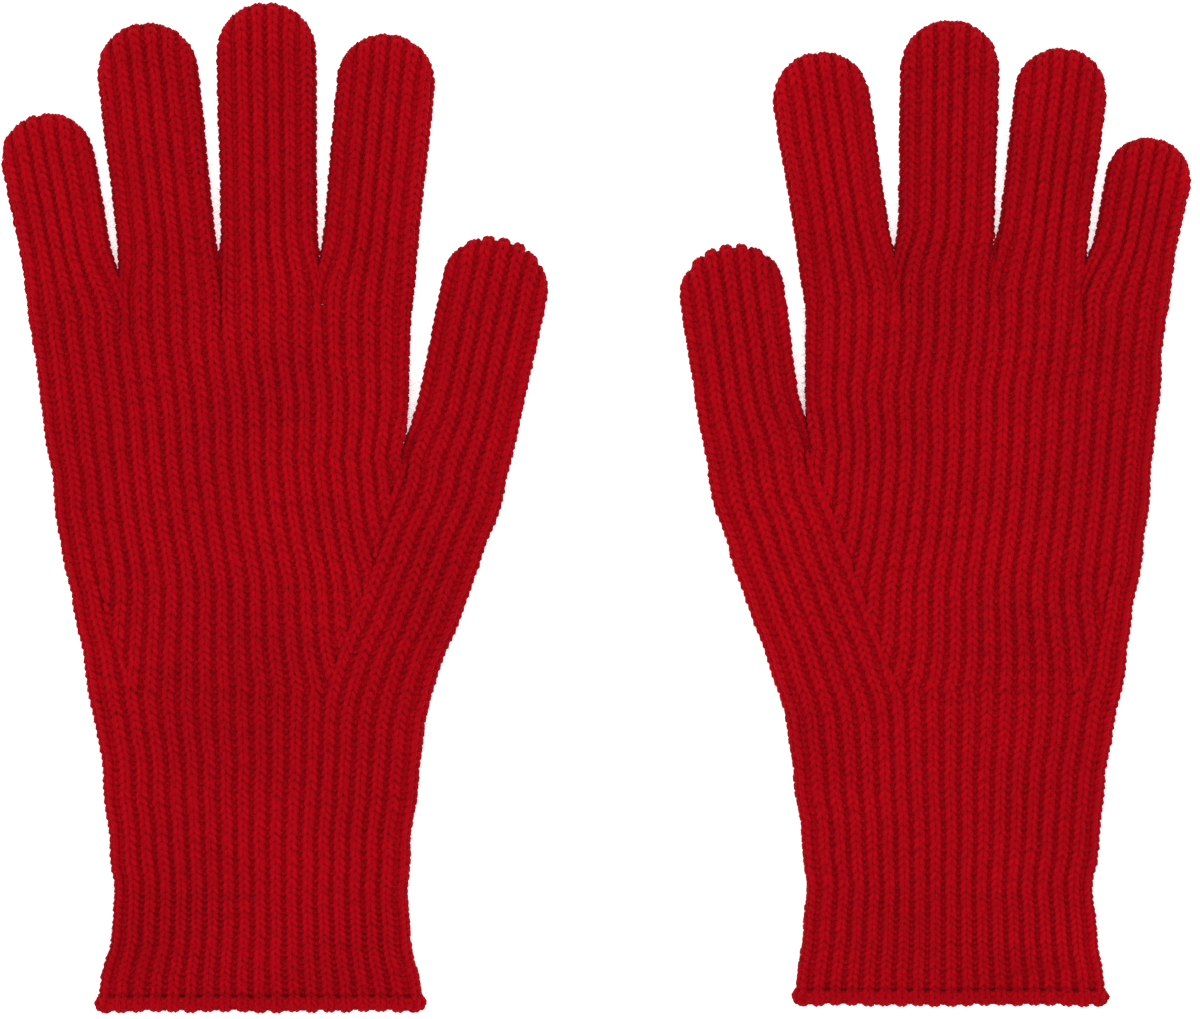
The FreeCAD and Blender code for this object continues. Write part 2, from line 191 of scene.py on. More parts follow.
class Yarn:
    """Collects tubes of yarn and loose fibres, and makes one mesh of them."""

    def __init__(self):
        self.points = []
        self.faces = []
        self.heights = []
        self.steps = []
        self.corners = []
        self.twists = []
        self.roots = []
        self.count = 0
        self.step_count = 0

    def add_rings(self, rings, closed, heights):
        """rings: number of rings, sides, xyz. Joins each ring to the next with quads."""
        number, sides = rings.shape[:2]
        self.points.append(rings.reshape(-1, 3))
        self.heights.append(np.repeat(heights, sides))
        last = number if closed else number - 1
        ring = np.arange(last)
        following = (ring + 1) % number
        corner = np.arange(sides)
        beside = (corner + 1) % sides
        a = ring[:, None] * sides + corner[None, :]
        b = ring[:, None] * sides + beside[None, :]
        c = following[:, None] * sides + beside[None, :]
        d = following[:, None] * sides + corner[None, :]
        self.faces.append(np.stack([a, d, c, b], axis=2).reshape(-1, 4) + self.count)
        self.steps.append(np.repeat(ring + self.step_count, sides))
        self.corners.append(np.tile(corner, last))
        centres = rings.mean(axis=1)
        length = np.linalg.norm(centres[following] - centres[ring], axis=1)
        end_length = np.cumsum(length)
        ends = np.stack([end_length - length, end_length], axis=1)
        self.twists.append(np.repeat(ends, sides, axis=0))
        self.step_count += last
        if not closed:
            self.cap(np.arange(sides))
            self.cap(np.arange(sides)[::-1] + (number - 1) * sides)
        self.count += number * sides

    def cap(self, ring):
        """Closes an end with quads, which keeps every face four-sided."""
        pairs = len(ring) // 2 - 1
        quads = [[ring[i], ring[i + 1], ring[-2 - i], ring[-1 - i]] for i in range(pairs)]
        self.faces.append(np.array(quads) + self.count)
        self.steps.append(np.full(pairs, self.step_count))
        self.corners.append(np.arange(pairs))
        self.twists.append(np.zeros((pairs, 2)))
        self.step_count += 1

    def tube(self, centres, normals, radii, closed, heights):
        if closed:
            tangents = np.roll(centres, -1, axis=0) - np.roll(centres, 1, axis=0)
        else:
            tangents = np.gradient(centres, axis=0)
        tangents /= np.linalg.norm(tangents, axis=1, keepdims=True) + 1e-12
        side = np.cross(tangents, normals)
        side /= np.linalg.norm(side, axis=1, keepdims=True) + 1e-12
        up = np.cross(side, tangents)
        angles = (np.arange(YARN_SIDES) * 2.0 * math.pi / YARN_SIDES)[None, :, None]
        circle = np.cos(angles) * up[:, None, :] + np.sin(angles) * side[:, None, :]
        self.add_rings(centres[:, None, :] + circle * radii[:, None, None], closed, heights)
        self.roots.append(np.concatenate([centres, normals, radii[:, None]], axis=1))

    def fuzz(self, share):
        """Loose fibres that stand out from the yarn, share of them for each ring of the tubes."""
        roots = np.concatenate(self.roots)
        count = int(len(roots) * share)
        sideways = 1.0 - np.abs(roots[:, 5])
        chance = FIBRE_EVEN + FIBRE_SIDES * sideways**2
        picked = roots[RNG.choice(len(roots), count, p=chance / chance.sum())]
        outward = picked[:, 3:6]
        lean = RNG.normal(0.0, 1.0, (count, 3))
        lean /= np.linalg.norm(lean, axis=1, keepdims=True)
        direction = outward * RNG.uniform(*FIBRE_OUT, (count, 1)) + lean * FIBRE_LEAN
        direction /= np.linalg.norm(direction, axis=1, keepdims=True)
        curl = RNG.normal(0.0, FIBRE_CURL, (count, 3))
        length = RNG.lognormal(math.log(FIBRE_LENGTH), FIBRE_SPREAD, (count, 1))
        base = picked[:, :3] + direction * picked[:, 6:7] * FIBRE_ROOT
        middle = base + direction * length * 0.5
        tip = middle + (direction + curl) * length * 0.5
        across = np.cross(direction, curl)
        across /= np.linalg.norm(across, axis=1, keepdims=True) + 1e-12
        above = np.cross(across, direction)
        spread = np.stack([across, above, -across, -above], axis=1) * FIBRE_RADIUS
        halfway = middle[:, None] + spread * FIBRE_TAPER[0]
        rings = np.stack([base[:, None] + spread, halfway, tip[:, None] + spread * FIBRE_TAPER[1]], axis=1)
        first = self.count + np.arange(count)[:, None, None] * FIBRE_POINTS
        ring = np.arange(2)[None, :, None] * 4
        corner = np.arange(4)[None, None, :]
        beside = (corner + 1) % 4
        a = first + ring + corner
        b = first + ring + beside
        walls = np.stack([a, a + 4, b + 4, b], axis=-1).reshape(-1, 4)
        start = (self.count + np.arange(count) * FIBRE_POINTS)[:, None]
        caps = np.concatenate([start + np.array([0, 1, 2, 3]), start + np.array([11, 10, 9, 8])])
        self.points.append(rings.reshape(-1, 3))
        self.heights.append(np.full(count * FIBRE_POINTS, FIBRE_HEIGHT))
        self.faces += [walls, caps]
        self.steps.append(np.repeat(np.arange(count * 2), 4) + self.step_count)
        self.steps.append(np.tile(np.arange(count) * 2, 2) + self.step_count)
        self.corners += [np.tile(np.arange(4), count * 2), np.repeat([4, 5], count)]
        self.twists.append(np.zeros((len(walls) + len(caps), 2)))
        self.step_count += count * 2
        self.count += count * FIBRE_POINTS

    def build(self, name, glove, material):
        world = glove.to_row(np.concatenate(self.points))
        faces = np.concatenate(self.faces)
        steps = np.concatenate(self.steps)
        corners = np.concatenate(self.corners)
        twists = np.concatenate(self.twists)
        mirrored = glove.sign < 0
        if mirrored:
            faces = faces[:, ::-1]
        mesh = bpy.data.meshes.new(name)
        mesh.vertices.add(len(world))
        mesh.vertices.foreach_set("co", world.astype(np.float32).ravel())
        mesh.loops.add(faces.size)
        mesh.loops.foreach_set("vertex_index", faces.astype(np.int32).ravel())
        mesh.polygons.add(len(faces))
        mesh.polygons.foreach_set("loop_start", np.arange(0, faces.size, 4, dtype=np.int32))
        mesh.polygons.foreach_set("use_smooth", np.ones(len(faces), dtype=bool))
        mesh.update(calc_edges=True)
        height = mesh.attributes.new("Height", "FLOAT", "POINT")
        height.data.foreach_set("value", np.concatenate(self.heights).astype(np.float32))
        columns = math.ceil(math.sqrt(self.step_count * CELL_SIDES))
        lines = math.ceil(self.step_count / columns)
        low_u = (steps % columns) / columns
        low_v = ((steps // columns) * CELL_SIDES + corners + 0.5) / (lines * CELL_SIDES)
        wide = 1.0 / columns
        tall = 1.0 / (lines * CELL_SIDES)
        atlas_u = np.stack([low_u, low_u + wide, low_u + wide, low_u], axis=1)
        atlas_v = np.stack([low_v, low_v, low_v + tall, low_v + tall], axis=1)
        twist_u = np.stack([twists[:, 0], twists[:, 1], twists[:, 1], twists[:, 0]], axis=1) / MM
        around = corners / YARN_SIDES
        further = (corners + 1) / YARN_SIDES
        twist_v = np.stack([around, around, further, further], axis=1)
        for layer, across, along in (("OFBake", atlas_u, atlas_v), ("Twist", twist_u, twist_v)):
            if mirrored:
                across = across[:, ::-1]
                along = along[:, ::-1]
            pairs = np.stack([across, along], axis=-1).astype(np.float32)
            mesh.uv_layers.new(name=layer).data.foreach_set("uv", pairs.ravel())
        mesh.materials.append(material)
        return put(name, mesh)


# ---- Where the fabric lies ------------------------------


# How far the knitting swells past each digit's CAD outline near its tip, on both sides of the digit
DIGIT_PROUD = {
    "little": -0.6 * MM,
    "ring": 0.4 * MM,
    "middle": 0.3 * MM,
    "index": 0.4 * MM,
    "thumb": 0.6 * MM,
}
TIP_DRAWN_IN = {("left", "index"): 1.8 * MM}  # a fingertip whose last stitches are drawn in further
DIGIT_SWELL = 0.35 * MM  # how much wider a digit is near its tip than near its base
TIP_PROUD = 0.25 * MM  # the same at the tips
THUMB_LEAN = 0.036  # the thumb lies a little closer to the hand than its CAD axis
SWELL_FROM = 0.4  # where along a digit it starts to swell
SWELL_OVER = 0.3
TIP_LAP = 0.9 * MM  # how far each face's stitches reach over the other's at a tip
REACH = PROUD - FACE_DEPTH  # from a CAD solid's side to the middle of the fabric
LEVELS = 60  # heights at which the hand's and the cuff's outlines are measured
GUSSET_LEVELS = 40
LEVEL_MARGIN = 0.5 * MM  # the first and the last one lie this far inside
CUFF_MARGINS = (0.3 * MM, 0.8 * MM)
EDGE_POINTS = 160
EDGE_STOP = 1.0 * MM  # a side's edge line ends this far below the digit that it runs into
EDGE_PASSES = 10  # of smoothing
EDGE_PAD = 40  # points added past each end of a line before it is smoothed
EDGE_WAVES = (17 * MM, 26 * MM, 41 * MM)
EDGE_WAVER = 0.17 * MM
FLOW_PASSES = 90
FLOW_RIBS = 5.0
KINK = 48 * MM
KINK_FADE = 32 * MM
KINK_SLOPE = 0.008
HEEL_HEIGHT = 31 * MM
HEEL_COURSES = 15
HEEL_SOFT = 0.03  # how softly the first and the last rib end there
HEEL_LIMIT = 1.5
MERGE_RIBS = 3.0  # above the heel, ribs this near the edge close up again
LEAN_FADE = 9 * MM
LEAN_STEP = 2.0 * MM
LEAN_RIBS = 5.0  # how far in from the little finger's edge the palm leans
SEAM_BLEND = 2.4  # ribs
CROTCH_EASE = 18 * MM
CROTCH_ROUND = 0.1  # how much of the index side's fold is left at the thumb's crotch
PALM_TUCKS = 1.1
PITCH_SETTLE = 17 * MM
PITCH_FROM = -5.0 * MM
DIGIT_SETTLE = 20 * MM
GUSSET_SPAN = 6.2
# How deep the fabric sinks into a crotch, and over how much width and height
FINGER_DIP = (3.0 * MM, 2.6 * MM, 13 * MM)
THUMB_DIP = (2.5 * MM, 3.0 * MM, 10 * MM)
GUSSET_SEAM_DIP = 0.42 * MM
PALM_SEAM_DIP = 1.2 * MM
SEAM_WIDTH = 1.6 * MM


def node_mesh(name):
    """A CAD node's points and edges, in the row frame."""
    mesh = frame["nodes"][name].data
    points = np.zeros(len(mesh.vertices) * 3)
    mesh.vertices.foreach_get("co", points)
    edges = np.zeros(len(mesh.edges) * 2, dtype=np.int64)
    mesh.edges.foreach_get("vertices", edges)
    return points.reshape(-1, 3), edges.reshape(-1, 2)


def joint(name):
    return [item for item in frame["joints"] if item["name"] == name][0]


class Glove:
    """One glove's plan, read from the frame."""

    def __init__(self, side):
        self.side = side
        self.sign = 1.0 if side == "right" else -1.0
        wrist = joint(side + "_wrist_bend")["pos_m"]
        self.origin = np.array([wrist[0], wrist[1], 0.0])
        self.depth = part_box(side + "_hand")[1].z
        self.middle = self.depth / 2.0
        self.round = self.middle - FACE_DEPTH
        self.read_outlines()
        self.read_digits()
        self.plan_hand()

    def to_row(self, points):
        return points * np.array([self.sign, 1.0, 1.0]) + self.origin

    def from_row(self, points):
        return (points - self.origin) * np.array([self.sign, 1.0, 1.0])

    def outline(self, nodes, levels):
        """Lowest and highest x of some nodes at each height level of the plan."""
        low = np.full(len(levels), np.inf)
        high = np.full(len(levels), -np.inf)
        for name in nodes:
            points, edges = node_mesh(self.side + "_" + name)
            plan = self.from_row(points)
            start = plan[edges[:, 0]]
            end = plan[edges[:, 1]]
            for index, level in enumerate(levels):
                crosses = (start[:, 1] - level) * (end[:, 1] - level) <= 0
                crosses &= np.abs(start[:, 1] - end[:, 1]) > 1e-9
                if crosses.any():
                    a = start[crosses]
                    b = end[crosses]
                    x = a[:, 0] + (b[:, 0] - a[:, 0]) * (level - a[:, 1]) / (b[:, 1] - a[:, 1])
                    low[index] = min(low[index], x.min())
                    high[index] = max(high[index], x.max())
        return low, high

    def read_outlines(self):
        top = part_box(self.side + "_hand")[1].y - self.origin[1]
        self.levels = np.linspace(LEVEL_MARGIN, top - LEVEL_MARGIN, LEVELS)
        self.little_edge, self.index_edge = self.outline(["hand", "side_gusset"], self.levels)
        gusset_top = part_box(self.side + "_thumb_gusset")[1].y - self.origin[1]
        self.gusset_levels = np.linspace(LEVEL_MARGIN, gusset_top - LEVEL_MARGIN, GUSSET_LEVELS)
        self.thumb_edge = self.outline(["thumb_gusset"], self.gusset_levels)[1]
        self.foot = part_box(self.side + "_cuff_welt")[0].y - self.origin[1]
        self.band_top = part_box(self.side + "_cuff_band")[1].y - self.origin[1]
        self.welt_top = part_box(self.side + "_cuff_welt")[1].y - self.origin[1]
        self.cuff_levels = np.linspace(self.foot + CUFF_MARGINS[0], -CUFF_MARGINS[1], LEVELS)
        tubes = ["wrist_tube", "cuff_band", "cuff_welt"]
        self.cuff_low, self.cuff_high = self.outline(tubes, self.cuff_levels)

    def read_digits(self):
        """Base line, direction, width and length of each digit, from its joint and its CAD solid."""
        self.digits = {}
        for word in FINGERS + ("thumb",):
            hinge = joint("%s_%s_bend" % (self.side, word))
            across = np.array(hinge["axis"]) * np.array([self.sign, 1.0, 1.0])
            across *= np.sign(across[0])
            along = np.array([-across[1], across[0], 0.0])
            base = self.from_row(np.array(hinge["pos_m"]) * np.array([1.0, 1.0, 0.0]))
            node = word if word == "thumb" else word + "_finger"
            plan = self.from_row(node_mesh("%s_%s" % (self.side, node))[0]) - base
            width = 2.0 * np.abs(plan @ across).max()
            length = (plan @ along).max()
            self.digits[word] = {
                "node": node,
                "base": base,
                "across": across,
                "along": along,
                "half": width / 2.0 + PROUD - FACE_DEPTH,
                "length": length + PROUD - FACE_DEPTH - TIP_DRAWN_IN.get((self.side, word), 0.0),
                "ribs": THUMB_RIBS if word == "thumb" else FINGER_RIBS,
                "swell": DIGIT_PROUD[word],
                "lean": THUMB_LEAN if word == "thumb" else 0.0,
            }

    def base_end(self, word, way):
        """One end of a digit's base line: 1 is on the thumb's side, -1 on the little finger's."""
        digit = self.digits[word]
        return digit["base"] + way * digit["across"] * (digit["half"] - REACH)

    def plan_hand(self):
        self.little_corner = self.base_end("little", -1)
        self.index_corner = self.base_end("index", 1)
        self.thumb_corner = self.base_end("thumb", 1)
        self.thumb_crotch = self.base_end("thumb", -1)
        self.crotches = []
        for first, second in zip(FINGERS, FINGERS[1:]):
            self.crotches.append((self.base_end(first, 1) + self.base_end(second, -1)) / 2.0)
        knots = [self.little_corner] + self.crotches + [self.index_corner]
        self.base_ribs = np.arange(5) * FINGER_SHARE
        self.base_heights = np.array([knot[1] for knot in knots])
        self.hand_courses = round(self.base_heights.mean() / COURSE)
        self.gusset_courses = round(self.thumb_corner[1] / COURSE) + 1
        self.side_levels, self.little_edge = self.whole_edge(
            self.cuff_low, self.levels, self.little_edge, self.little_corner[1], -REACH
        )
        self.flow_edge = smoothed(self.little_edge, FLOW_PASSES)
        self.outer_levels, self.thumb_edge = self.whole_edge(
            self.cuff_high, self.gusset_levels, self.thumb_edge, self.thumb_corner[1], REACH
        )
        inside = self.levels < self.index_corner[1] - EDGE_STOP
        self.index_levels = self.levels[inside]
        self.index_edge = smoothed(self.index_edge[inside]) + REACH
        self.cuff_left = np.interp(self.cuff_levels, self.side_levels, self.little_edge)
        self.cuff_right = np.interp(self.cuff_levels, self.outer_levels, self.thumb_edge)
        self.tuck = (math.pi / 2.0 - 1.0) * self.round
        self.gusset_foot = self.outline(["thumb_gusset"], np.array([LEVEL_MARGIN]))[0][0]
        self.thumb_pitch = (2.0 * self.digits["thumb"]["half"] - REACH + self.tuck) / GUSSET_SPAN
        self.wrist_pitch = (self.cuff_right[-1] - self.cuff_left[-1] + 2.0 * self.tuck) / (CUFF_RIBS / 2)
        self.plan_wrist()
        level = self.thumb_crotch[1]
        span = self.right_edge(level) - self.left_edge(level)
        self.palm_pitch = (span + PALM_TUCKS * self.tuck) / HAND_RIBS

    def whole_edge(self, cuff, levels, upper, top, inset):
        """One side's edge from the cuff's foot to a digit, evenly spaced and with its corners rounded."""
        inside = levels < top - EDGE_STOP
        heights = np.concatenate([self.cuff_levels, levels[inside]])
        places = np.concatenate([cuff, upper[inside]])
        even = np.linspace(heights[0], heights[-1], EDGE_POINTS)
        line = smoothed(np.interp(even, heights, places)) + inset
        for wave in EDGE_WAVES:
            line += EDGE_WAVER * np.sin(even * 2.0 * math.pi / wave + RNG.uniform(0.0, 6.0))
        return even, line

    def plan_wrist(self):
        """How far each wrist rib's direction has to turn to run on into the palm or the gusset."""
        self.wrist_ribs = np.arange(0.0, CUFF_RIBS / 2 + 0.1, 0.5)
        left_lean = self.lean(self.side_levels, self.little_edge)
        right_lean = self.lean(self.outer_levels, self.thumb_edge)
        share = self.wrist_ribs / (CUFF_RIBS / 2)
        below = left_lean * (1.0 - share) + right_lean * share
        seam_lean = (self.thumb_crotch[0] - self.gusset_foot) / self.thumb_crotch[1]
        seam_rib = CUFF_RIBS / 2 - (self.cuff_right[-1] - self.gusset_foot + self.tuck) / self.wrist_pitch
        on_gusset = smooth((self.wrist_ribs - seam_rib + SEAM_BLEND / 2.0) / SEAM_BLEND)
        outward = np.clip((self.wrist_ribs - seam_rib) / (CUFF_RIBS / 2 - seam_rib), 0.0, 1.0)
        gusset_lean = seam_lean * (1.0 - outward) + right_lean * outward
        palm_lean = left_lean * smooth(1.0 - self.wrist_ribs / LEAN_RIBS)
        above = palm_lean * (1.0 - on_gusset) + gusset_lean * on_gusset
        self.wrist_lean = above - below

    def lean(self, levels, edge):
        """An edge's slope at the wrist line, in x per y."""
        rise = np.interp(LEAN_STEP, levels, edge) - np.interp(-LEAN_STEP, levels, edge)
        return rise / (2.0 * LEAN_STEP)

    def left_edge(self, y):
        return np.interp(y, self.side_levels, self.little_edge)

    def right_edge(self, y):
        return np.interp(y, self.index_levels, self.index_edge)

    def seam_x(self, y):
        """The line where the palm's ribs end against the thumb gusset."""
        return self.gusset_foot + (self.thumb_crotch[0] - self.gusset_foot) * y / self.thumb_crotch[1]

    def merged(self, y):
        """How many palm ribs have ended at the heel, counted from the fingers."""
        t = np.minimum(1.0 - y / HEEL_HEIGHT, HEEL_LIMIT)
        return HEEL_RIBS * (t + np.sqrt(t * t + HEEL_SOFT)) / 2.0

    def strip_ribs(self, y):
        return STRIP_RIBS + 0.5 * np.clip(1.0 - y / HEEL_HEIGHT, 0.0, 1.0)

    def hand_point(self, g, y, strip=False):
        """Where the middle of the palm's fabric lies: rib g from the little finger's edge, at height y."""
        left = self.left_edge(y)
        flow = np.interp(y, self.side_levels, self.flow_edge)
        shift = (flow - left) * smooth(g / FLOW_RIBS) * smooth((HAND_RIBS - g) / FLOW_RIBS)
        ease = smooth((y - self.thumb_crotch[1]) / CROTCH_EASE)
        right_round = self.round * (CROTCH_ROUND + (1.0 - CROTCH_ROUND) * ease)
        right_tuck = (math.pi / 2.0 - 1.0) * right_round
        right = self.right_edge(y)
        upper_pitch = (right + right_tuck - left + self.tuck) / HAND_RIBS
        settle = np.exp(-np.maximum(y, PITCH_FROM) / PITCH_SETTLE)
        lower_pitch = self.palm_pitch + (self.wrist_pitch - self.palm_pitch) * settle
        above = y >= self.thumb_crotch[1]
        pitch = np.where(above, upper_pitch, lower_pitch)
        corner = np.sqrt((y - self.thumb_crotch[1]) ** 2 + KINK**2) - np.abs(y - self.thumb_crotch[1])
        corner *= smooth((self.base_heights[1] - y) / KINK_FADE)
        pitch = pitch + KINK_SLOPE * 0.5 * corner * (1.0 - np.clip(g / HAND_RIBS, 0.0, 1.0) ** 4)
        near_edge = np.where(y > HEEL_HEIGHT, smooth(g / MERGE_RIBS), 1.0)
        ended = 0.0 if strip else self.merged(y) * near_edge
        ended = np.where(above, 0.0, ended)
        flat = left - self.tuck + (g - ended) * pitch + shift
        turn = np.maximum(left + self.round - flat, 0.0) / self.round
        x = np.where(turn > 0.0, left + self.round - self.round * np.sin(turn), flat)
        z = self.round * np.cos(turn)
        turn = np.where(above, np.maximum(flat - right + right_round, 0.0) / right_round, 0.0)
        x = np.where(turn > 0.0, right - right_round + right_round * np.sin(turn), x)
        z = np.where(turn > 0.0, self.round - right_round + right_round * np.cos(turn), z)
        for crotch in self.crotches:
            z = z - self.dip(x, y, crotch, FINGER_DIP)
        z = z - self.dip(x, y, self.thumb_crotch, THUMB_DIP)
        if not strip:
            beside = np.abs(x - self.seam_x(y))
            z = z - np.where(above, 0.0, PALM_SEAM_DIP * np.exp(-((beside / SEAM_WIDTH) ** 2)))
        return x, z

    def place(self, x, y, z, back):
        """Points of one of the two faces, z from the middle between them."""
        return np.stack([x, y, self.middle + np.where(back, -z, z)], axis=-1)

    def dip(self, x, y, crotch, size):
        """The fabric sinks in towards a crotch, so that its two faces meet there."""
        depth, wide, tall = size
        across = np.exp(-(((x - crotch[0]) / wide) ** 2))
        along = smooth(1.0 - np.abs(y - crotch[1]) / tall)
        return depth * across * along

    # ---- surfaces: ribs across and courses along, to a point ----

    def palm(self, g, c, back=False, strip=False):
        y = c / self.hand_courses * np.interp(g, self.base_ribs, self.base_heights)
        x, z = self.hand_point(g, y, strip)
        return self.place(x, y, z, back)

    def gusset(self, r, c, back=False):
        share = c / self.gusset_courses
        seam_y = share * self.thumb_crotch[1]
        edge_y = share * self.thumb_corner[1]
        ax = self.seam_x(seam_y)
        ex = np.interp(edge_y, self.outer_levels, self.thumb_edge)
        dx = ex - ax
        dy = edge_y - seam_y
        length = np.hypot(dx, dy)
        s = r * (self.wrist_pitch + (self.thumb_pitch - self.wrist_pitch) * smooth(share))
        quarter = math.pi / 2.0 * self.round
        turn = np.maximum(quarter - s, 0.0) / self.round
        inward = np.where(turn > 0.0, self.round - self.round * np.sin(turn), s - self.tuck)
        z = self.round * np.cos(turn)
        x = ex - dx / length * inward
        y = edge_y - dy / length * inward
        z = z - self.dip(x, y, self.thumb_crotch, THUMB_DIP)
        z = z - GUSSET_SEAM_DIP * np.exp(-((np.abs(length - inward) / SEAM_WIDTH) ** 2))
        return self.place(x, y, z, back)

    def tube(self, h, y, back=False):
        left = np.interp(y, self.cuff_levels, self.cuff_left)
        right = np.interp(y, self.cuff_levels, self.cuff_right)
        flat = left - self.tuck + h * (right - left + 2.0 * self.tuck) / (CUFF_RIBS / 2)
        turned = np.interp(h, self.wrist_ribs, self.wrist_lean) * y
        flat = flat + turned * np.exp(np.minimum(y, 0.0) / LEAN_FADE)
        turn_left = np.maximum(left + self.round - flat, 0.0) / self.round
        turn_right = np.maximum(flat - right + self.round, 0.0) / self.round
        turn = np.maximum(turn_left, turn_right)
        sunk = self.round * np.sin(turn)
        x = np.where(turn_left > 0.0, left + self.round - sunk, flat)
        x = np.where(turn_right > 0.0, right - self.round + sunk, x)
        z = self.round * np.cos(turn)
        return self.place(x, y, z, back)

    def finger_base(self, f, word):
        """Where a finger's ribs start on the edge of the palm. Two extra ribs start in the crotches."""
        low = FINGERS.index(word) * FINGER_SHARE
        high = low + FINGER_SHARE
        start = low - math.floor(low) - 3.0
        place = (f - start) % FINGER_RIBS
        ends = np.array([0.0, FINGER_SHARE, FINGER_SHARE + 1.0, 2.0 * FINGER_SHARE + 1.0])
        on_front = place <= ends[1]
        on_right = (place > ends[1]) & (place < ends[2])
        on_back = (place >= ends[2]) & (place <= ends[3])
        g = np.where(on_front, low + place, np.where(on_right, high, high - (place - ends[2])))
        g = np.where(place > ends[3], low, g)
        point = self.palm(g, np.full_like(g, self.hand_courses), back=~(on_front | on_right))
        depth = point[..., 2] - self.middle
        sink = np.where(on_right, 1.0 - 2.0 * (place - ends[1]), 1.0)
        sink = np.where(place > ends[3], 1.0 - 2.0 * (place - ends[3]), sink)
        point[..., 2] = self.middle + depth * sink
        return point

    def thumb_base(self, f):
        """Where the thumb's ribs start on the gusset's upper edge. The others start in the crotch."""
        place = (f + GUSSET_SPAN - THUMB_RIBS / 4) % THUMB_RIBS
        on_front = place <= GUSSET_SPAN
        on_back = (place > GUSSET_SPAN) & (place <= 2.0 * GUSSET_SPAN)
        r = np.where(on_front, GUSSET_SPAN - place, np.where(on_back, place - GUSSET_SPAN, GUSSET_SPAN))
        point = self.gusset(r, np.full_like(r, self.gusset_courses), back=~on_front)
        depth = point[..., 2] - self.middle
        dive = (place - 2.0 * GUSSET_SPAN) / (THUMB_RIBS - 2.0 * GUSSET_SPAN)
        sink = np.where(on_front | on_back, 1.0, 1.0 - 2.0 * dive)
        point[..., 2] = self.middle + depth * sink
        return point

    def digit(self, f, c, word):
        """A tube with a rounded tip, which grows out of the edge of the palm or the gusset."""
        digit = self.digits[word]
        ribs = digit["ribs"]
        tip_half = digit["half"] + digit["swell"]
        v = c * digit["course"]
        swell = smooth((v / digit["length"] - SWELL_FROM) / SWELL_OVER)
        half = tip_half - DIGIT_SWELL * (1.0 - swell)
        flat_half = half + self.tuck
        f_wrapped = (f + ribs / 2.0) % ribs - ribs / 2.0
        s = f_wrapped * 4.0 * flat_half / ribs
        behind = np.abs(s) > flat_half
        flat = np.where(behind, np.sign(s) * (2.0 * flat_half - np.abs(s)), s)
        shoulder = digit["length"] + TIP_PROUD - tip_half
        beyond = np.maximum(v - shoulder, 0.0)
        rho = np.hypot(flat, beyond)
        inner = half - self.round
        turn = np.maximum(rho - inner, 0.0) / self.round
        shrink = np.where(turn > 0.0, (inner + self.round * np.sin(turn)) / np.maximum(rho, 1e-9), 1.0)
        z = self.round * np.cos(turn)
        x = flat * shrink - digit["lean"] * v
        y = np.where(v > shoulder, shoulder + beyond * shrink, v)
        z = np.where(behind, -z, z)
        base = self.thumb_base(f) if word == "thumb" else self.finger_base(f, word)
        start = base - digit["base"]
        weight = smooth(v / DIGIT_SETTLE)
        x = (start @ digit["across"]) * (1.0 - weight) + x * weight
        z = (start[..., 2] - self.middle) * (1.0 - weight) + z * weight
        y = y + (start @ digit["along"]) * (1.0 - weight)
        point = digit["base"] + x[..., None] * digit["across"] + y[..., None] * digit["along"]
        point[..., 2] = self.middle + z
        return point, rho <= flat_half + TIP_LAP


def smoothed(values, passes=EDGE_PASSES):
    """Rounds a line's corners and keeps its ends."""
    before = 2.0 * values[0] - values[EDGE_PAD:0:-1]
    after = 2.0 * values[-1] - values[-2 : -EDGE_PAD - 2 : -1]
    line = np.concatenate([before, values, after])
    for _ in range(passes):
        line[1:-1] = 0.25 * line[:-2] + 0.5 * line[1:-1] + 0.25 * line[2:]
    return line[EDGE_PAD:-EDGE_PAD]


# ---- Knitting a surface ------------------------------


